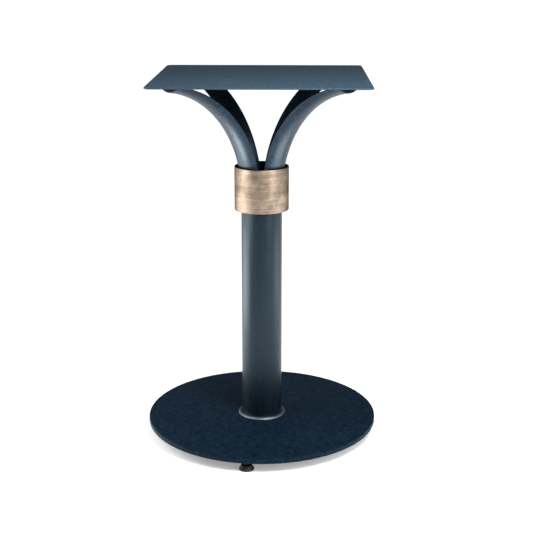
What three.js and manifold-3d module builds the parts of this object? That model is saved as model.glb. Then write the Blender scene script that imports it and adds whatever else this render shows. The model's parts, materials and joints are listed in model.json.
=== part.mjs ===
// A pedestal table base: a round floor plate on four levelling feet, a round column, four arms that flare
// out of a brass collar, and a square plate that carries a table top.
// Millimetres, +Z up. The origin is on the floor, on the column's axis. X and Y run along the top plate's sides.

import * as THREE from 'three';
import { mergeVertices } from 'three/addons/utils/BufferGeometryUtils.js';
import Module from 'manifold-3d';

const wasm = await Module();
wasm.setup();

// ---------------------------------------------------------------- driving dimensions

const GAP = 0.3;                        // what neighbouring pieces keep between them

const HEIGHT = 715;                     // floor to the top plate's upper face
const TOP = { side: 400, thickness: 3, cornerRadius: 12 };
const TOP_HOLES = { radius: 2.25, inset: 20, spread: 120 };

const BASE = { radius: 230, thickness: 10, bottom: 21, chamfer: 1.5 };
const BASE_TOP = BASE.bottom + BASE.thickness;

const TUBE = { radius: 40, wall: 2.5 }; // the column, and the tube that the arms are quarters of
const TUBE_INNER = TUBE.radius - TUBE.wall;

const ARM = { startZ: 484, bendRadius: 220, sweepDegrees: 81, slit: 1.6 };
const SLEEVE = { wall: 3, below: 30, above: 20 };

const COLLAR = { radius: 53, wall: 2, bottom: 457, height: 85, chamfer: 0.6 };
const COLLAR_RING = { height: 8, lowerZ: 460, upperZ: 478 };
const COLLAR_SCREW = { radius: 2, sunk: 0.5 };

const FOOT_RING = { radius: 48, height: 3.5, chamfer: 3 };
const FOOT_DISC = { height: 12 };

const BOLTS = { count: 4, circleRadius: 24, startDegrees: 45 };
const BOLT = { radius: 4, length: 20, headAcross: 13, headHeight: 5.3, clearance: 0.5 };
const WASHER = { radius: 8, thickness: 1.6 };

const FEET = { count: 4, circleRadius: 207, startDegrees: -96.5 };
const PAD = { radius: 14.5, rim: 3, chamfer: 0.8, neckRadius: 10, height: 9.7, socketRadius: 5.3, floor: 3 };
const STUD = { radius: 4, heelRadius: 5, heelHeight: 3, hexAcross: 13, reach: 7.4, holeDepth: 7.7 };
const NUT = { across: 14, height: 6.5 };

const SEGMENTS = { disc: 72, tube: 48, round: 24, hole: 16, bendCircle: 60, quarter: 4, corner: 4 };

// ---------------------------------------------------------------- finishes

const coatedSteel = { color: 0x2b3844, roughness: 0.55, metalness: 0.25 };
const paleSteel = { color: 0x6f7a83, roughness: 0.45, metalness: 0.5 };
const bareSteel = { color: 0x8a8d90, roughness: 0.5, metalness: 0.9 };
const zinc = { color: 0xaeb2b5, roughness: 0.4, metalness: 0.9 };
const brass = { color: 0xb5947c, roughness: 0.4, metalness: 0.9 };
const blackSteel = { color: 0x1c1e20, roughness: 0.5, metalness: 0.7 };
const nylon = { color: 0x1a1b1d, roughness: 0.6, metalness: 0 };
const blackPlastic = { color: 0x0e1013, roughness: 0.6, metalness: 0 };

// ---------------------------------------------------------------- solids

function toSolid(geometry) {
  const bare = geometry.clone();
  bare.deleteAttribute('normal');
  bare.deleteAttribute('uv');
  const merged = mergeVertices(bare, 1e-4);
  return new wasm.Manifold(new wasm.Mesh({
    numProp: 3,
    vertProperties: new Float32Array(merged.attributes.position.array),
    triVerts: new Uint32Array(merged.index.array),
  }));
}

function toGeometry(solid) {
  const mesh = solid.getMesh();
  const geometry = new THREE.BufferGeometry();
  geometry.setAttribute('position', new THREE.BufferAttribute(new Float32Array(mesh.vertProperties), 3));
  geometry.setIndex(new THREE.BufferAttribute(new Uint32Array(mesh.triVerts), 1));
  return geometry;
}

function cut(geometry, ...tools) {
  return toGeometry(tools.reduce((solid, tool) => solid.subtract(toSolid(tool)), toSolid(geometry)));
}

function join(geometry, ...others) {
  return toGeometry(others.reduce((solid, other) => solid.add(toSolid(other)), toSolid(geometry)));
}

function keepWithin(geometry, region) {
  return toGeometry(toSolid(geometry).intersect(toSolid(region)));
}

// ---------------------------------------------------------------- basic shapes

// A body of revolution about +Z, from [radius, z] points that run up its outside.
function turned(points, segments) {
  const outline = points.map(([radius, z]) => new THREE.Vector2(radius, z));
  return new THREE.LatheGeometry(outline, segments).rotateX(Math.PI / 2);
}

function rod(radius, bottom, top, segments) {
  return turned([[0, bottom], [radius, bottom], [radius, top], [0, top]], segments);
}

// A tube or washer whose upper outer edge may be chamfered.
function ring(outer, inner, bottom, top, segments, chamfer = 0) {
  const upperEdge = chamfer > 0 ? [[outer, top - chamfer], [outer - chamfer, top]] : [[outer, top]];
  return turned([[inner, bottom], [outer, bottom], ...upperEdge, [inner, top], [inner, bottom]], segments);
}

// A hexagonal prism along +Z, sized across its flats.
function hexPrism(across, bottom, top) {
  const cornerRadius = across / Math.sqrt(3);
  return new THREE.CylinderGeometry(cornerRadius, cornerRadius, top - bottom, 6)
    .rotateX(Math.PI / 2)
    .translate(0, 0, (top + bottom) / 2);
}

// Places evenly spaced round the axis, numbered from 1.
function placesRound({ count, circleRadius, startDegrees }) {
  return Array.from({ length: count }, (_, index) => {
    const angle = THREE.MathUtils.degToRad(startDegrees + (360 / count) * index);
    return { number: index + 1, x: circleRadius * Math.cos(angle), y: circleRadius * Math.sin(angle) };
  });
}

const footPlaces = placesRound(FEET);
const boltPlaces = placesRound(BOLTS);

// ---------------------------------------------------------------- scene graph

const tableBase = new THREE.Group();

function piece(name, geometry, finish) {
  const mesh = new THREE.Mesh(geometry, new THREE.MeshStandardMaterial(finish));
  mesh.name = name;
  tableBase.add(mesh);
  return mesh;
}

// ---------------------------------------------------------------- floor plate

function basePlate() {
  const { radius, bottom, chamfer } = BASE;
  const disc = turned([
    [0, bottom], [radius - chamfer, bottom], [radius, bottom + chamfer],
    [radius, BASE_TOP - chamfer], [radius - chamfer, BASE_TOP], [0, BASE_TOP],
  ], SEGMENTS.disc);
  const boltHoles = boltPlaces.map(({ x, y }) =>
    rod(BOLT.radius + BOLT.clearance, bottom - 1, BASE_TOP + 1, SEGMENTS.hole).translate(x, y, 0));
  const studHoles = footPlaces.map(({ x, y }) =>
    rod(STUD.radius + GAP, bottom - 1, bottom + STUD.holeDepth, SEGMENTS.hole).translate(x, y, 0));
  return cut(disc, ...boltHoles, ...studHoles);
}

piece('base_plate', basePlate(), coatedSteel);

// ---------------------------------------------------------------- column

const columnBottom = BASE_TOP + GAP;

function footDisc() {
  const top = columnBottom + FOOT_DISC.height;
  const disc = rod(TUBE_INNER - GAP, columnBottom, top, SEGMENTS.tube);
  const holes = boltPlaces.map(({ x, y }) =>
    rod(BOLT.radius + GAP, columnBottom - 1, top + 1, SEGMENTS.hole).translate(x, y, 0));
  return cut(disc, ...holes);
}

piece('column_tube', ring(TUBE.radius, TUBE_INNER, columnBottom, ARM.startZ - GAP, SEGMENTS.tube), coatedSteel);
piece('column_foot_disc', footDisc(), bareSteel);
piece('foot_ring', ring(FOOT_RING.radius, TUBE.radius + GAP, columnBottom, columnBottom + FOOT_RING.height,
  SEGMENTS.tube, FOOT_RING.chamfer), paleSteel);

// Hexagon bolts come from below, each through a washer, and screw into the column's foot disc.
const washerTop = BASE.bottom - GAP;
const headTop = washerTop - WASHER.thickness - GAP;

for (const { number, x, y } of boltPlaces) {
  const washer = ring(WASHER.radius, BOLT.radius + GAP, washerTop - WASHER.thickness, washerTop, SEGMENTS.round);
  const bolt = join(
    hexPrism(BOLT.headAcross, headTop - BOLT.headHeight, headTop),
    rod(BOLT.radius, headTop - BOLT.headHeight / 2, headTop + BOLT.length, SEGMENTS.hole),
  );
  piece(`base_washer_${number}`, washer, zinc).position.set(x, y, 0);
  piece(`base_bolt_${number}`, bolt, zinc).position.set(x, y, 0);
}

// ---------------------------------------------------------------- arms

// A quarter of the tube's wall about the X axis, less half a slit at either side.
function quarterWall() {
  const half = Math.PI / 4 - Math.asin(ARM.slit / 2 / TUBE.radius);
  const wall = new THREE.Shape();
  wall.absarc(0, 0, TUBE_INNER, -half, half, false);
  wall.absarc(0, 0, TUBE.radius, half, -half, true);
  wall.closePath();
  return wall.extractPoints(SEGMENTS.quarter).shape;
}

// The slice of space that the bend sweeps through, from level with its centre to the arm's tip.
function bendSlice() {
  const sweep = THREE.MathUtils.degToRad(ARM.sweepDegrees);
  const reach = ARM.bendRadius * 2;
  const slice = new THREE.Shape([
    new THREE.Vector2(0, 0),
    new THREE.Vector2(reach, 0),
    new THREE.Vector2(reach, reach),
    new THREE.Vector2(reach * Math.cos(sweep), reach * Math.sin(sweep)),
  ]);
  return new THREE.ExtrudeGeometry(slice, { depth: TUBE.radius * 2, bevelEnabled: false })
    .translate(0, 0, -TUBE.radius)
    .rotateX(Math.PI / 2)
    .rotateZ(Math.PI);
}

// An arm that leans along +X: the quarter wall turned about a level axis, which bends it outwards. Its edges are
// trimmed level where they meet the top plate.
function bentArm() {
  const bendX = TUBE.radius + ARM.bendRadius;
  const outline = quarterWall().map(({ x, y }) => new THREE.Vector2(bendX - x, y));
  outline.push(outline[0].clone());
  const hoop = new THREE.LatheGeometry(outline, SEGMENTS.bendCircle, -Math.PI / 2);
  const arm = keepWithin(hoop, bendSlice()).translate(bendX, 0, ARM.startZ);
  const trimZ = HEIGHT - TOP.thickness - GAP;
  const above = new THREE.BoxGeometry(bendX * 2, TUBE.radius * 2, TUBE.radius);
  return cut(arm, above.translate(0, 0, trimZ + TUBE.radius / 2));
}

const armGeometry = bentArm();
const ARM_DEGREES = { front_left: -135, front_right: -45, rear_right: 45, rear_left: 135 };

for (const [corner, degrees] of Object.entries(ARM_DEGREES)) {
  piece(`arm_${corner}`, armGeometry.clone(), coatedSteel).rotation.z = THREE.MathUtils.degToRad(degrees);
}

piece('arm_sleeve', ring(TUBE_INNER - GAP, TUBE_INNER - GAP - SLEEVE.wall, ARM.startZ - SLEEVE.below,
  ARM.startZ + SLEEVE.above, SEGMENTS.tube), bareSteel);

// ---------------------------------------------------------------- collar

const collarInner = COLLAR.radius - COLLAR.wall;
const screwZ = COLLAR_RING.lowerZ + COLLAR_RING.height / 2;

// A rod that points out of the back of the column, along +Y, at the collar screw's height.
function backwardRod(radius, near, far) {
  return rod(radius, near, far, SEGMENTS.hole).rotateX(-Math.PI / 2).translate(0, 0, screwZ);
}

function collarRing(bottom) {
  return ring(collarInner - GAP, TUBE.radius + GAP, bottom, bottom + COLLAR_RING.height, SEGMENTS.tube);
}

const screwHole = backwardRod(COLLAR_SCREW.radius + GAP, TUBE.radius - 1, COLLAR.radius + 1);
const collarTube = ring(COLLAR.radius, collarInner, COLLAR.bottom, COLLAR.bottom + COLLAR.height,
  SEGMENTS.tube, COLLAR.chamfer);

piece('collar', cut(collarTube, screwHole), brass);
piece('collar_lower_ring', cut(collarRing(COLLAR_RING.lowerZ), screwHole), nylon);
piece('collar_upper_ring', collarRing(COLLAR_RING.upperZ), nylon);
piece('collar_screw', backwardRod(COLLAR_SCREW.radius, TUBE.radius + GAP, COLLAR.radius - COLLAR_SCREW.sunk), zinc);

// ---------------------------------------------------------------- top plate

function roundedSquare(side, radius) {
  const reach = side / 2 - radius;
  const outline = new THREE.Shape();
  outline.absarc(reach, reach, radius, 0, Math.PI / 2, false);
  outline.absarc(-reach, reach, radius, Math.PI / 2, Math.PI, false);
  outline.absarc(-reach, -reach, radius, Math.PI, Math.PI * 1.5, false);
  outline.absarc(reach, -reach, radius, Math.PI * 1.5, Math.PI * 2, false);
  outline.closePath();
  return outline;
}

// Two screw holes along each side.
function screwHoles() {
  const edge = TOP.side / 2 - TOP_HOLES.inset;
  const holes = [];
  for (const along of [-TOP_HOLES.spread, TOP_HOLES.spread]) {
    for (const across of [-edge, edge]) {
      for (const [x, y] of [[along, across], [across, along]]) {
        holes.push(new THREE.Path().absarc(x, y, TOP_HOLES.radius, 0, Math.PI * 2, true));
      }
    }
  }
  return holes;
}

function topPlate() {
  const outline = roundedSquare(TOP.side, TOP.cornerRadius);
  outline.holes.push(...screwHoles());
  return new THREE.ExtrudeGeometry(outline, {
    depth: TOP.thickness,
    bevelEnabled: false,
    curveSegments: SEGMENTS.corner,
  });
}

piece('top_plate', topPlate(), coatedSteel).position.z = HEIGHT - TOP.thickness;

// ---------------------------------------------------------------- levelling feet

// A pad stands on the floor. The stud's heel turns in the pad's socket, and its thread runs up through the nut
// into a blind hole in the floor plate. The hexagon meets the nut when the foot is screwed right in.
const nutTop = BASE.bottom - GAP;
const nutBottom = nutTop - NUT.height;
const hexBottom = PAD.height + GAP;
const hexTop = nutBottom - GAP;
const heelBottom = PAD.floor + GAP;

function padShape() {
  return turned([
    [0, 0], [PAD.radius - PAD.chamfer, 0], [PAD.radius, PAD.chamfer], [PAD.radius, PAD.rim],
    [PAD.neckRadius, PAD.height], [PAD.socketRadius, PAD.height], [PAD.socketRadius, PAD.floor], [0, PAD.floor],
  ], SEGMENTS.round);
}

function studShape() {
  return join(
    turned([
      [0, heelBottom], [STUD.heelRadius, heelBottom], [STUD.heelRadius, heelBottom + STUD.heelHeight],
      [STUD.radius, heelBottom + STUD.heelHeight], [STUD.radius, BASE.bottom + STUD.reach],
      [0, BASE.bottom + STUD.reach],
    ], SEGMENTS.hole),
    hexPrism(STUD.hexAcross, hexBottom, hexTop),
  );
}

function nutShape() {
  return cut(hexPrism(NUT.across, nutBottom, nutTop), rod(STUD.radius + GAP, 0, HEIGHT, SEGMENTS.hole));
}

for (const { number, x, y } of footPlaces) {
  piece(`foot_${number}_pad`, padShape(), blackPlastic).position.set(x, y, 0);
  piece(`foot_${number}_stud`, studShape(), blackSteel).position.set(x, y, 0);
  piece(`foot_${number}_nut`, nutShape(), blackSteel).position.set(x, y, 0);
}

export default tableBase;
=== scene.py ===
"""Looks for a pedestal table base.

Metres, +Z up, -Y is the front, and the origin is on the floor under the column. Each piece is built as
smooth geometry at the size of the CAD node that it stands for, with its own finish.
"""

import json
import math

import bmesh
import bpy
from mathutils import Matrix, Vector


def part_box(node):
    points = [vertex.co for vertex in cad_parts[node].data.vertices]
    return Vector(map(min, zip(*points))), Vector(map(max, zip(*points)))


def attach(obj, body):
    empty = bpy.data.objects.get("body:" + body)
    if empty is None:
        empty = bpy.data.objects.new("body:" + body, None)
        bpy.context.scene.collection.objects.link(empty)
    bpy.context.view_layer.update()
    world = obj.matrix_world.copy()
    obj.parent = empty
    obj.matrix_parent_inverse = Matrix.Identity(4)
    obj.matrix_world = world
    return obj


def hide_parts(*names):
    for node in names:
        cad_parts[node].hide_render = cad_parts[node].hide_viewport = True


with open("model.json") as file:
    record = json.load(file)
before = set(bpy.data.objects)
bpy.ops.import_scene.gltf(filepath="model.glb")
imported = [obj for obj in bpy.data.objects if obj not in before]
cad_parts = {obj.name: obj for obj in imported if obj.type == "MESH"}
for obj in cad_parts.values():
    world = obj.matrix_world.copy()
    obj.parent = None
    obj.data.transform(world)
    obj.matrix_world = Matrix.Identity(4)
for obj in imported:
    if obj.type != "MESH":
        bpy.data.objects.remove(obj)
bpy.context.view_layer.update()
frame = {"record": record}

MM = 0.001
TURN = 2 * math.pi
SLOT_OF = {part["node"]: part["material_slot"] for part in frame["record"]["subparts"]}
BODY_OF = {node: body for body, nodes in frame["record"]["behaviour"]["bodies"].items() for node in nodes}
FEET = (1, 2, 3, 4)


# ---------------------------------------------------------------- sizes


# The CAD nodes' boxes give the rest.
RUNNING_GAP = 0.3 * MM
TUBE_WALL = 2.5 * MM
SLEEVE_WALL = 3 * MM
COLLAR_WALL = 2 * MM

BOLT_RADIUS = 4 * MM
BOLT_PITCH = 1.25 * MM
BOLT_HEAD_ACROSS = 13 * MM
BOLT_HEAD_HEIGHT = 5.3 * MM
BOLT_PLAIN_LENGTH = 2 * MM
BOLT_HOLE_RADIUS = 4.5 * MM
STUD_HOLE_DEPTH = 7.7 * MM
STUD_HEX_ACROSS = 13 * MM
NUT_ACROSS = 14 * MM

ARM_DIRECTIONS = {"front_left": -135, "front_right": -45, "rear_right": 45, "rear_left": 135}
ARM_BEND_RADIUS = 220 * MM
ARM_SWEEP = math.radians(81)
ARM_HALF_SLIT = 0.8 * MM

TOP_CORNER_RADIUS = 12 * MM
TOP_HOLE_RADIUS = 2.25 * MM
TOP_HOLE_INSET = 20 * MM
TOP_HOLE_SPREAD = 120 * MM

SEGMENTS = {"floor_plate": 288, "collar": 224, "tube": 160, "pad": 96, "washer": 64, "fastener": 48}
SHARP_ANGLE = math.radians(32)


def round_size(node):
    """A round node's radius, lowest and highest points."""
    low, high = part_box(node)
    return (high.x - low.x) / 2, low.z, high.z


def centre(node):
    low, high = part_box(node)
    middle = (low + high) / 2
    return middle.x, middle.y


foot_places = [centre(f"foot_{number}_pad") for number in FEET]
bolt_places = [centre(f"base_washer_{number}") for number in FEET]
column_radius = round_size("column_tube")[0]


# ---------------------------------------------------------------- materials


class Nodes:
    """A material's node tree, with short calls that add and join its nodes."""

    def __init__(self, name):
        self.material = bpy.data.materials.new(name)
        self.material.use_nodes = True
        self.tree = self.material.node_tree
        self.shader = self.tree.nodes["Principled BSDF"]
        self.place = self.tree.nodes.new("ShaderNodeTexCoord").outputs["Object"]

    def join(self, node, inputs):
        for name, value in inputs.items():
            socket = node.inputs[name]
            if isinstance(value, bpy.types.NodeSocket):
                self.tree.links.new(value, socket)
            else:
                socket.default_value = value
        return node

    def add(self, kind, inputs):
        return self.join(self.tree.nodes.new(kind), inputs)

    def maths(self, operation, first, second):
        node = self.add("ShaderNodeMath", {0: first, 1: second})
        node.operation = operation
        return node.outputs["Value"]

    def noise(self, scale, detail=2.0, roughness=0.5, stretch=(1, 1, 1)):
        """Noise in the piece's own space; its scale is in features a metre."""
        spot = self.add("ShaderNodeMapping", {"Vector": self.place, "Scale": stretch}).outputs["Vector"]
        inputs = {"Vector": spot, "Scale": scale, "Detail": detail, "Roughness": roughness}
        return self.add("ShaderNodeTexNoise", inputs).outputs["Fac"]

    def ramp(self, factor, stops):
        node = self.add("ShaderNodeValToRGB", {"Fac": factor})
        elements = node.color_ramp.elements
        while len(elements) < len(stops):
            elements.new(0.5)
        for element, (position, colour) in zip(elements, stops):
            element.position = position
            element.color = (*colour, 1)
        return node.outputs["Color"]

    def spread(self, factor, low, high):
        """Maps a noise, which keeps to the middle of its range, to low..high."""
        inputs = {"Value": factor, "From Min": 0.25, "From Max": 0.75, "To Min": low, "To Max": high}
        return self.add("ShaderNodeMapRange", inputs).outputs["Result"]

    def bump(self, height, strength, distance, below=None):
        inputs = {"Height": height, "Strength": strength, "Distance": distance}
        if below is not None:
            inputs["Normal"] = below
        return self.add("ShaderNodeBump", inputs).outputs["Normal"]

    def finish(self, inputs):
        self.join(self.shader, inputs)
        return self.material


def powder_coat(name, dark, light, roughness, gloss):
    """Fine-textured powder coat: a grain under a millimetre, over lumps of a few millimetres and smaller."""
    nodes = Nodes(name)
    grain = nodes.noise(1100, detail=3, roughness=0.6)
    tone = nodes.noise(150, detail=5, roughness=0.75)
    return nodes.finish({
        "Base Color": nodes.ramp(tone, [(0.4, dark), (0.6, light)]),
        "Roughness": nodes.spread(grain, roughness - 0.06, roughness + 0.06),
        "Specular IOR Level": gloss,
        "Specular Tint": (0.6, 0.84, 1.0, 1),
        "Normal": nodes.bump(grain, 0.3, 0.2 * MM, below=nodes.bump(tone, 0.25, 0.4 * MM)),
    })


def brushed_brass(name, inner_radius):
    """Antique brass: brushed round the collar, mottled by its patina, and near-black inside its bore as
    painted shade.
    """
    nodes = Nodes(name)
    strokes = nodes.noise(34, detail=5, roughness=0.75, stretch=(0.4, 0.4, 40))
    patches = nodes.noise(45, detail=4, roughness=0.6)
    tone = nodes.maths("ADD", nodes.maths("MULTIPLY", strokes, 0.6), nodes.maths("MULTIPLY", patches, 0.4))
    brass = nodes.ramp(tone, [
        (0.38, (0.15, 0.103, 0.07)),
        (0.5, (0.27, 0.206, 0.155)),
        (0.62, (0.4, 0.326, 0.265)),
    ])
    flat = nodes.add("ShaderNodeVectorMath", {0: nodes.place, 1: (1, 1, 0)})
    flat.operation = "MULTIPLY"
    reach = nodes.add("ShaderNodeVectorMath", {0: flat.outputs["Vector"]})
    reach.operation = "LENGTH"
    bore_reach = inner_radius + 0.3 * MM
    outside = nodes.maths("GREATER_THAN", reach.outputs["Value"], bore_reach)
    # Painted shade: the collar's bore is near-black where shade falls inside it.
    painted_bore_shade = (0.012, 0.009, 0.007, 1)
    mix = nodes.add("ShaderNodeMixRGB", {"Fac": outside, "Color1": painted_bore_shade, "Color2": brass})
    return nodes.finish({
        "Base Color": mix.outputs["Color"],
        "Metallic": 1.0,
        "Roughness": nodes.spread(tone, 0.36, 0.5),
        "Specular Tint": (0.3, 0.27, 0.25, 1),
        "Normal": nodes.bump(strokes, 0.3, 0.1 * MM),
    })


def turned_metal(name, colour, roughness):
    """Plated or machined steel, with fine turning marks and a slight change of tone."""
    nodes = Nodes(name)
    marks = nodes.noise(60, detail=3, roughness=0.6, stretch=(1, 1, 40))
    cloud = nodes.noise(90, detail=2)
    darker = tuple(0.75 * part for part in colour)
    return nodes.finish({
        "Base Color": nodes.ramp(cloud, [(0.35, darker), (0.65, colour)]),
        "Metallic": 1.0,
        "Roughness": nodes.spread(marks, roughness - 0.08, roughness + 0.1),
        "Normal": nodes.bump(marks, 0.15, 0.05 * MM),
    })


def moulded_plastic(name, colour, roughness):
    """Black plastic with the fine stipple of its mould."""
    nodes = Nodes(name)
    stipple = nodes.noise(1400, detail=2)
    scuffs = nodes.noise(120, detail=4, roughness=0.7)
    paler = tuple(1.8 * part for part in colour)
    return nodes.finish({
        "Base Color": nodes.ramp(scuffs, [(0.4, colour), (0.7, paler)]),
        "Roughness": nodes.spread(scuffs, roughness - 0.08, roughness + 0.08),
        "Normal": nodes.bump(stipple, 0.2, 0.1 * MM),
    })


# Each finish's kind and what that kind takes after its name.
FINISH_KINDS = {
    # The four powder coats stand for one navy-black coat; as painted light and shade, the top plate's is
    # lighter and the column's and floor plate's darker.
    "floor_plate_coat": (powder_coat, (0.0005, 0.004, 0.01), (0.005, 0.016, 0.029), 0.5, 0.1),
    "column_coat": (powder_coat, (0.001, 0.003, 0.006), (0.003, 0.007, 0.011), 0.32, 0.43),
    "arm_coat": (powder_coat, (0.004, 0.008, 0.014), (0.011, 0.018, 0.028), 0.38, 0.18),
    "top_plate_coat": (powder_coat, (0.012, 0.025, 0.038), (0.025, 0.046, 0.066), 0.5, 0.25),
    "foot_ring_coat": (turned_metal, (0.16, 0.18, 0.21), 0.5),
    "collar_brass": (brushed_brass, round_size("collar")[0] - COLLAR_WALL),
    "bare_steel": (turned_metal, (0.42, 0.42, 0.42), 0.4),
    "zinc_plate": (turned_metal, (0.6, 0.62, 0.64), 0.32),
    # Painted shade: black_steel makes the feet's studs and nuts near-black where they sit in the shade under
    # the floor plate.
    "black_steel": (turned_metal, (0.02, 0.021, 0.023), 0.42),
    "nylon": (moulded_plastic, (0.012, 0.012, 0.013), 0.5),
    "pad_plastic": (moulded_plastic, (0.006, 0.007, 0.008), 0.5),
}
FINISHES = {name: kind(name, *values) for name, (kind, *values) in FINISH_KINDS.items()}


# ---------------------------------------------------------------- mesh helpers


def smooth(piece):
    piece.data.shade_smooth()
    piece.data.set_sharp_from_angle(angle=SHARP_ANGLE)


def placed(name, shape):
    """Turns a bmesh into an object in the scene."""
    mesh = bpy.data.meshes.new(name)
    shape.to_mesh(mesh)
    shape.free()
    thing = bpy.data.objects.new(name, mesh)
    bpy.context.scene.collection.objects.link(thing)
    return thing


def dress(node, shape):
    """Turns a bmesh into the visible piece that stands for a CAD node."""
    bmesh.ops.recalc_face_normals(shape, faces=shape.faces)
    piece = placed(f"shown_{node}", shape)
    smooth(piece)
    piece.data.materials.append(FINISHES[SLOT_OF[node]])
    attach(piece, BODY_OF[node])
    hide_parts(node)
    return piece


def skin(shape, lower, upper):
    """Faces between two rings of vertices; a ring of one vertex is a pole."""
    count = max(len(lower), len(upper))
    for index in range(count):
        after = (index + 1) % count
        corners = [lower[index % len(lower)], lower[after % len(lower)],
                   upper[after % len(upper)], upper[index % len(upper)]]
        shape.faces.new(list(dict.fromkeys(corners)))


def loft(shape, rings, capped=False):
    """Faces between each ring of vertices and the next, and over both end rings if it is capped."""
    for lower, upper in zip(rings, rings[1:]):
        skin(shape, lower, upper)
    if capped:
        shape.faces.new(rings[0])
        shape.faces.new(rings[-1])


def stacked(sections, segments, hollow=False):
    """A solid from horizontal sections, each a height and a radius that may depend on the angle.

    A hollow solid runs up its outside and back down its bore, and closes on its first section.
    """
    shape = bmesh.new()
    rings = []
    for height, radius in sections:
        if radius == 0:
            rings.append([shape.verts.new((0, 0, height))])
            continue
        ring = []
        for step in range(segments):
            angle = TURN * step / segments
            reach = radius(angle) if callable(radius) else radius
            ring.append(shape.verts.new((reach * math.cos(angle), reach * math.sin(angle), height)))
        rings.append(ring)
    if hollow:
        rings.append(rings[0])
    loft(shape, rings)
    return shape


def softened(corners, closed=False):
    """Rounds the corners of an outline given as (x, y, rounding)."""
    steps = 4
    points = []
    last = len(corners) - 1
    for index, (x, y, rounding) in enumerate(corners):
        at_end = not closed and index in (0, last)
        if rounding == 0 or at_end:
            points.append((x, y))
            continue
        corner = Vector((x, y))
        before = Vector(corners[index - 1][:2])
        after = Vector(corners[(index + 1) % len(corners)][:2])
        start = corner + (before - corner).normalized() * rounding
        end = corner + (after - corner).normalized() * rounding
        for step in range(steps + 1):
            share = step / steps
            point = start * (1 - share) ** 2 + corner * 2 * share * (1 - share) + end * share ** 2
            points.append(tuple(point))
    return points


def turned(corners, segments=SEGMENTS["tube"], hollow=False):
    """A body of revolution from (radius, height, rounding) corners."""
    outline = softened(corners, closed=hollow)
    return stacked([(height, radius) for radius, height in outline], segments, hollow)


def tube(outer, inner, bottom, top, rounding, segments=SEGMENTS["tube"]):
    ends = ((inner, bottom), (outer, bottom), (outer, top), (inner, top))
    return turned([(radius, height, rounding) for radius, height in ends], segments, hollow=True)


def hexagon(across, limit):
    """The radius of a hexagon at an angle, cut off at a circle by its chamfer."""
    def radius(angle):
        off = (angle + math.pi / 6) % (math.pi / 3) - math.pi / 6
        return min(across / 2 / math.cos(off), limit)
    return radius


def hex_sections(across, bottom, top, chamfer):
    """A hexagonal prism with its corners chamfered at both ends."""
    tip = across / math.sqrt(3)
    break_in = 0.2 * MM
    break_up = 0.1 * MM
    return [
        (bottom, across / 2 - break_in),
        (bottom + break_up, hexagon(across, across / 2)),
        (bottom + chamfer, hexagon(across, tip)),
        (top - chamfer, hexagon(across, tip)),
        (top - break_up, hexagon(across, across / 2)),
        (top, across / 2 - break_in),
    ]


def thread_sections(bottom, tip):
    """A right-handed thread, whose crest climbs one pitch a turn, and its chamfered tip."""
    rows_per_turn = 8
    depth = 0.55 * BOLT_PITCH
    top = tip - 0.5 * MM
    sections = []
    for row in range(math.floor((top - bottom) / BOLT_PITCH * rows_per_turn) + 1):
        height = bottom + row * BOLT_PITCH / rows_per_turn

        def reach(angle, height=height):
            phase = (height / BOLT_PITCH - angle / TURN) % 1
            return BOLT_RADIUS - depth * (1 - abs(2 * phase - 1))
        sections.append((height, reach))
    return [*sections, (tip, BOLT_RADIUS - 0.9 * MM), (tip, 0)]


def moved(shape, x, y):
    bmesh.ops.translate(shape, verts=shape.verts, vec=(x, y, 0))
    return shape


def drilled(piece, placings, radius, length):
    """Cuts round holes in a piece, each centred on a placing and along its Z axis."""
    rods = bmesh.new()
    for placing in placings:
        bmesh.ops.create_cone(rods, cap_ends=True, segments=SEGMENTS["fastener"], depth=length,
                              radius1=radius, radius2=radius, matrix=placing)
    cutter = placed("cutter", rods)
    boolean = piece.modifiers.new("holes", "BOOLEAN")
    boolean.object = cutter
    boolean.solver = "EXACT"
    graph = bpy.context.evaluated_depsgraph_get()
    cut_mesh = bpy.data.meshes.new_from_object(piece.evaluated_get(graph))
    piece.modifiers.clear()
    piece.data = cut_mesh
    bpy.data.objects.remove(cutter)
    smooth(piece)


def bored(piece, places, radius, bottom, top):
    """Cuts round vertical holes in a piece."""
    drilled(piece, [Matrix.Translation((x, y, (bottom + top) / 2)) for x, y in places], radius, top - bottom)


# ---------------------------------------------------------------- floor plate and column


def make_base_plate():
    radius, bottom, top = round_size("base_plate")
    edge = 1.6 * MM
    corners = [(0, bottom, 0), (radius, bottom, edge), (radius, top, edge), (0, top, 0)]
    plate = dress("base_plate", turned(corners, SEGMENTS["floor_plate"]))
    bored(plate, bolt_places, BOLT_HOLE_RADIUS, bottom - MM, top + MM)
    bored(plate, foot_places, BOLT_RADIUS + RUNNING_GAP, bottom - MM, bottom + STUD_HOLE_DEPTH)


def make_column():
    edge = 0.4 * MM
    radius, bottom, top = round_size("column_tube")
    dress("column_tube", tube(radius, radius - TUBE_WALL, bottom, top, edge))

    radius, bottom, top = round_size("foot_ring")
    inner = column_radius + RUNNING_GAP
    slope = 3 * MM
    dress("foot_ring", turned([
        (inner, bottom, 0.2 * MM),
        (radius, bottom, 0.2 * MM),
        (radius, top - slope, edge),
        (radius - slope, top, 1.0 * MM),
        (inner, top, edge),
    ], hollow=True))

    radius, bottom, top = round_size("column_foot_disc")
    disc = dress("column_foot_disc", turned([
        (0, bottom, 0),
        (radius, bottom, 0.5 * MM),
        (radius, top, 0.5 * MM),
        (0, top, 0),
    ]))
    bored(disc, bolt_places, BOLT_RADIUS + RUNNING_GAP, bottom - MM, top + MM)

    radius, bottom, top = round_size("arm_sleeve")
    dress("arm_sleeve", tube(radius, radius - SLEEVE_WALL, bottom, top, edge))


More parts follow.
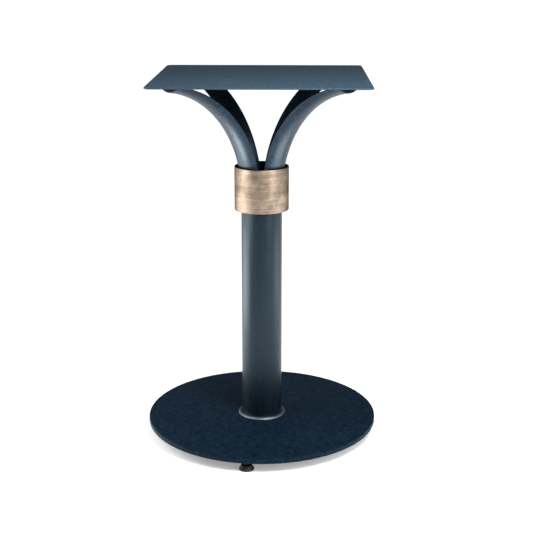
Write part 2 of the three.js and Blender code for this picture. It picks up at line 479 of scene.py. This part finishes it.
def make_base_bolts():
    for number, (x, y) in zip(FEET, bolt_places):
        _, bottom, tip = round_size(f"base_bolt_{number}")
        seat = bottom + BOLT_HEAD_HEIGHT
        thread_start = seat + BOLT_PLAIN_LENGTH
        bolt = stacked([
            (bottom, 0),
            *hex_sections(BOLT_HEAD_ACROSS, bottom, seat, 0.9 * MM),
            (seat, BOLT_RADIUS),
            (thread_start, BOLT_RADIUS),
            *thread_sections(thread_start, tip),
        ], SEGMENTS["fastener"])
        dress(f"base_bolt_{number}", moved(bolt, x, y))

        radius, bottom, top = round_size(f"base_washer_{number}")
        washer = tube(radius, BOLT_RADIUS + RUNNING_GAP, bottom, top, 0.25 * MM, SEGMENTS["washer"])
        dress(f"base_washer_{number}", moved(washer, x, y))


# ---------------------------------------------------------------- arms


def arm_section(wall_middle, half_wall, half_angle, rounding):
    """A quarter of the tube's wall in plan, about +X, with its two long edges rounded."""
    steps = 20
    outline = []
    for side, radius in ((1, wall_middle + half_wall), (-1, wall_middle - half_wall)):
        trim = rounding / radius
        for step in range(steps + 1):
            angle = side * (2 * step / steps - 1) * (half_angle - trim)
            outline.append((radius * math.cos(angle), radius * math.sin(angle)))
        edge = side * half_angle
        outer = radius - side * rounding
        inner = wall_middle - side * (half_wall - rounding)
        outline.append((outer * math.cos(edge), outer * math.sin(edge)))
        outline.append((inner * math.cos(edge), inner * math.sin(edge)))
    return outline


def make_arms():
    """Quarter-shells of the column's tube, bent outwards and trimmed level under the top plate."""
    stations = 72
    low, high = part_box("arm_front_left")
    start = low.z
    trim = high.z
    half_angle = math.pi / 4 - math.asin(ARM_HALF_SLIT / column_radius)
    section = arm_section(column_radius - TUBE_WALL / 2, TUBE_WALL / 2, half_angle, 0.5 * MM)
    bend_x = column_radius + ARM_BEND_RADIUS
    for corner, degrees in ARM_DIRECTIONS.items():
        shape = bmesh.new()
        rings = []
        for station in range(stations + 1):
            angle = ARM_SWEEP * station / stations
            rings.append([shape.verts.new((bend_x - (bend_x - x) * math.cos(angle), y,
                                           start + (bend_x - x) * math.sin(angle))) for x, y in section])
        loft(shape, rings, capped=True)
        bmesh.ops.triangulate(shape, faces=[face for face in shape.faces if len(face.verts) > 4])
        cut = bmesh.ops.bisect_plane(shape, geom=[*shape.verts, *shape.edges, *shape.faces],
                                     plane_co=(0, 0, trim), plane_no=(0, 0, 1), clear_outer=True)
        rim = [item for item in cut["geom_cut"] if isinstance(item, bmesh.types.BMEdge)]
        bmesh.ops.triangle_fill(shape, edges=rim, use_beauty=True)
        bmesh.ops.rotate(shape, verts=shape.verts, matrix=Matrix.Rotation(math.radians(degrees), 3, "Z"))
        dress(f"arm_{corner}", shape)


# ---------------------------------------------------------------- collar


def make_collar():
    radius, bottom, top = round_size("collar")
    shape = tube(radius, radius - COLLAR_WALL, bottom, top, 0.95 * MM, SEGMENTS["collar"])
    pieces = {"collar": dress("collar", shape)}
    for name in ("collar_lower_ring", "collar_upper_ring"):
        radius, bottom, top = round_size(name)
        pieces[name] = dress(name, tube(radius, column_radius + RUNNING_GAP, bottom, top, 0.4 * MM))
    return pieces


def make_collar_screw(pieces):
    """A grub screw at the back with a hexagon socket, in its hole through the collar and the lower ring."""
    low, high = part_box("collar_screw")
    radius = (high.z - low.z) / 2
    middle = (low.z + high.z) / 2
    turn_back = Matrix.Rotation(-math.pi / 2, 4, "X")
    hole = Matrix.Translation((0, (low.y + high.y) / 2, middle)) @ turn_back
    for name in ("collar", "collar_lower_ring"):
        drilled(pieces[name], [hole], radius + RUNNING_GAP, high.y - low.y + 3 * MM)

    socket = hexagon(2 * MM, 1.3 * MM)
    socket_floor = high.y - 2.2 * MM
    shape = stacked([
        (low.y, 0),
        (low.y, radius - 0.6 * MM),
        (low.y + 0.6 * MM, radius),
        (high.y - 0.3 * MM, radius),
        (high.y, radius - 0.3 * MM),
        (high.y, socket),
        (socket_floor, socket),
        (socket_floor, 0),
    ], SEGMENTS["fastener"])
    bmesh.ops.transform(shape, matrix=Matrix.Translation((0, 0, middle)) @ turn_back, verts=shape.verts)
    dress("collar_screw", shape)


# ---------------------------------------------------------------- top plate


def rounded_square(half_side, radius):
    steps = 10
    reach = half_side - radius
    points = []
    for quarter in range(4):
        corner_x = reach if quarter in (0, 3) else -reach
        corner_y = reach if quarter in (0, 1) else -reach
        for step in range(steps + 1):
            angle = math.pi / 2 * (quarter + step / steps)
            points.append((corner_x + radius * math.cos(angle), corner_y + radius * math.sin(angle)))
    return points


def make_top_plate():
    low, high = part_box("top_plate")
    half_side = high.x
    edge = 0.4 * MM
    shape = bmesh.new()
    rings = []
    for height, inset in ((low.z, edge), (low.z + edge, 0), (high.z - edge, 0), (high.z, edge)):
        outline = rounded_square(half_side - inset, TOP_CORNER_RADIUS - inset)
        rings.append([shape.verts.new((x, y, height)) for x, y in outline])
    loft(shape, rings, capped=True)
    plate = dress("top_plate", shape)
    near = half_side - TOP_HOLE_INSET
    holes = []
    for along in (-TOP_HOLE_SPREAD, TOP_HOLE_SPREAD):
        for out in (-near, near):
            holes += [(along, out), (out, along)]
    bored(plate, holes, TOP_HOLE_RADIUS, low.z - MM, high.z + MM)


# ---------------------------------------------------------------- levelling feet


def foot_pad(radius, floor, neck):
    """A tapered pad with a shallow hollow underneath and a socket for the stud's heel."""
    hollow = floor + 0.6 * MM
    socket = 5.3 * MM
    socket_floor = floor + 3 * MM
    return turned([
        (0, hollow, 0),
        (radius - 5 * MM, hollow, 0.5 * MM),
        (radius - 4.4 * MM, floor, 0.4 * MM),
        (radius, floor, 0.8 * MM),
        (radius, floor + 3 * MM, 0.9 * MM),
        (radius - 1.2 * MM, floor + 4 * MM, 0.5 * MM),
        (10 * MM, neck, 0.8 * MM),
        (socket, neck, 0.4 * MM),
        (socket, socket_floor, 0.3 * MM),
        (0, socket_floor, 0),
    ], SEGMENTS["pad"])


def foot_stud(heel, hex_bottom, hex_top, tip):
    """A round heel, a spanner hexagon and a thread, on one axis."""
    heel_radius = 5 * MM
    return stacked([
        (heel, 0),
        (heel, heel_radius - 0.5 * MM),
        (heel + 0.5 * MM, heel_radius),
        (heel + 2.7 * MM, heel_radius),
        (heel + 3 * MM, heel_radius - 0.3 * MM),
        (heel + 3 * MM, BOLT_RADIUS),
        (hex_bottom, BOLT_RADIUS),
        *hex_sections(STUD_HEX_ACROSS, hex_bottom, hex_top, 0.8 * MM),
        (hex_top, BOLT_RADIUS - 0.6 * MM),
        *thread_sections(hex_top + 0.2 * MM, tip),
    ], SEGMENTS["fastener"])


def foot_nut(bottom, top):
    bore = BOLT_RADIUS + RUNNING_GAP
    lead_in = 0.5 * MM
    return stacked([
        *hex_sections(NUT_ACROSS, bottom, top, 0.9 * MM),
        (top, bore + lead_in),
        (top - lead_in, bore),
        (bottom + lead_in, bore),
        (bottom, bore + lead_in),
    ], SEGMENTS["fastener"], hollow=True)


def make_feet():
    for number, (x, y) in zip(FEET, foot_places):
        radius, floor, neck = round_size(f"foot_{number}_pad")
        _, heel, tip = round_size(f"foot_{number}_stud")
        _, nut_bottom, nut_top = round_size(f"foot_{number}_nut")
        stud = foot_stud(heel, neck + RUNNING_GAP, nut_bottom - RUNNING_GAP, tip)
        dress(f"foot_{number}_pad", moved(foot_pad(radius, floor, neck), x, y))
        dress(f"foot_{number}_stud", moved(stud, x, y))
        dress(f"foot_{number}_nut", moved(foot_nut(nut_bottom, nut_top), x, y))


make_base_plate()
make_column()
make_base_bolts()
make_arms()
make_collar_screw(make_collar())
make_top_plate()
make_feet()


# ---------------------------------------------------------------- floor, light and camera


FLOOR_RADIUS = 60
WORLD_COLOUR = (0.75, 0.85, 1.0, 1)
WORLD_STRENGTH = 0.2
ARMS = [f"arm_{corner}" for corner in ARM_DIRECTIONS]

# Name, place, target, width, height, watts, and the CAD nodes that it lights, or None for everything.
SOFTBOXES = (
    ("left_box", (-0.62, -0.2, 0.6), (0, 0, 0.5), 0.55, 0.6, 3.9, None),
    ("left_low", (-0.65, 0.08, 0.16), (0, 0, 0.3), 0.6, 0.28, 2.8, None),
    ("right_low", (0.8, 0, 0.16), (0, 0, 0.3), 0.5, 0.3, 1.0, None),
    ("right_box", (1.3, -1.2, 1.0), (0, 0, 0.45), 0.45, 1.2, 20, None),
    ("front_box", (0.4, -0.8, 1.1), (0, 0, 0.5), 0.5, 0.4, 16, None),
    ("overhead_box", (0, 0.1, 2.8), (0, 0, 0.3), 2.4, 2.4, 6, None),
    ("top_box", (0.1, -0.2, 1.0), (0.1, -0.2, 0.7), 0.7, 0.2, 1.9, ["top_plate"]),
    ("left_arm_box", (-0.45, -0.12, 0.04), (-0.04, -0.05, 0.58), 0.36, 0.24, 12, ARMS),
    ("right_arm_box", (0.43, -0.17, 0.04), (0.04, -0.05, 0.58), 0.5, 0.26, 9, ARMS),
)


def make_floor():
    """A pale round floor that glows, as painted light, a little more with its distance from the object; its
    dimmer glow near the object is painted shade round it.
    """
    shape = bmesh.new()
    bmesh.ops.create_circle(shape, cap_ends=True, segments=128, radius=FLOOR_RADIUS)
    floor = placed("floor", shape)
    nodes = Nodes("floor")
    distance = nodes.add("ShaderNodeVectorMath", {0: nodes.place})
    distance.operation = "LENGTH"
    # Painted shade: the glow is weakest near the object and rises outwards.
    glow = nodes.add("ShaderNodeMapRange", {
        "Value": distance.outputs["Value"],
        "From Min": 0.25,
        "From Max": 0.9,
        "To Min": 0.28,
        "To Max": 0.9,
    })
    floor.data.materials.append(nodes.finish({
        "Base Color": (0.88, 0.88, 0.88, 1),
        "Roughness": 0.9,
        "IOR": 1.1,
        "Emission Color": (1, 1, 1, 1),
        "Emission Strength": glow.outputs["Result"],
    }))


def softbox(name, location, aim, width, height, watts, lit):
    """An area light that the camera doesn't see; lit names the CAD nodes that it is for, or None for all."""
    light = bpy.data.lights.new(name, "AREA")
    light.shape = "RECTANGLE"
    light.size = width
    light.size_y = height
    light.energy = watts
    lamp = bpy.data.objects.new(name, light)
    lamp.location = location
    lamp.rotation_euler = (Vector(aim) - Vector(location)).to_track_quat("-Z", "Y").to_euler()
    lamp.visible_camera = False
    bpy.context.scene.collection.objects.link(lamp)
    if lit:
        receivers = bpy.data.collections.new(f"{name}_receivers")
        for node in lit:
            receivers.objects.link(bpy.data.objects[f"shown_{node}"])
        lamp.light_linking.receiver_collection = receivers


def make_light():
    world = bpy.data.worlds.new("studio")
    world.use_nodes = True
    background = world.node_tree.nodes["Background"]
    background.inputs["Color"].default_value = WORLD_COLOUR
    background.inputs["Strength"].default_value = WORLD_STRENGTH
    bpy.context.scene.world = world
    bpy.context.scene.view_settings.view_transform = "Standard"
    for box in SOFTBOXES:
        softbox(*box)


def make_camera():
    distance = 2.154
    height = 0.947
    azimuth = math.radians(1.572)
    heading = math.radians(1.323)
    tilt_down = math.radians(15.753)
    camera = bpy.data.cameras.new("camera")
    camera.sensor_width = 36
    camera.lens = 76.23
    eye = bpy.data.objects.new("camera", camera)
    eye.location = (distance * math.sin(azimuth), -distance * math.cos(azimuth), height)
    eye.rotation_euler = (math.pi / 2 - tilt_down, 0, heading)
    bpy.context.scene.collection.objects.link(eye)
    bpy.context.scene.camera = eye


make_floor()
make_light()
make_camera()
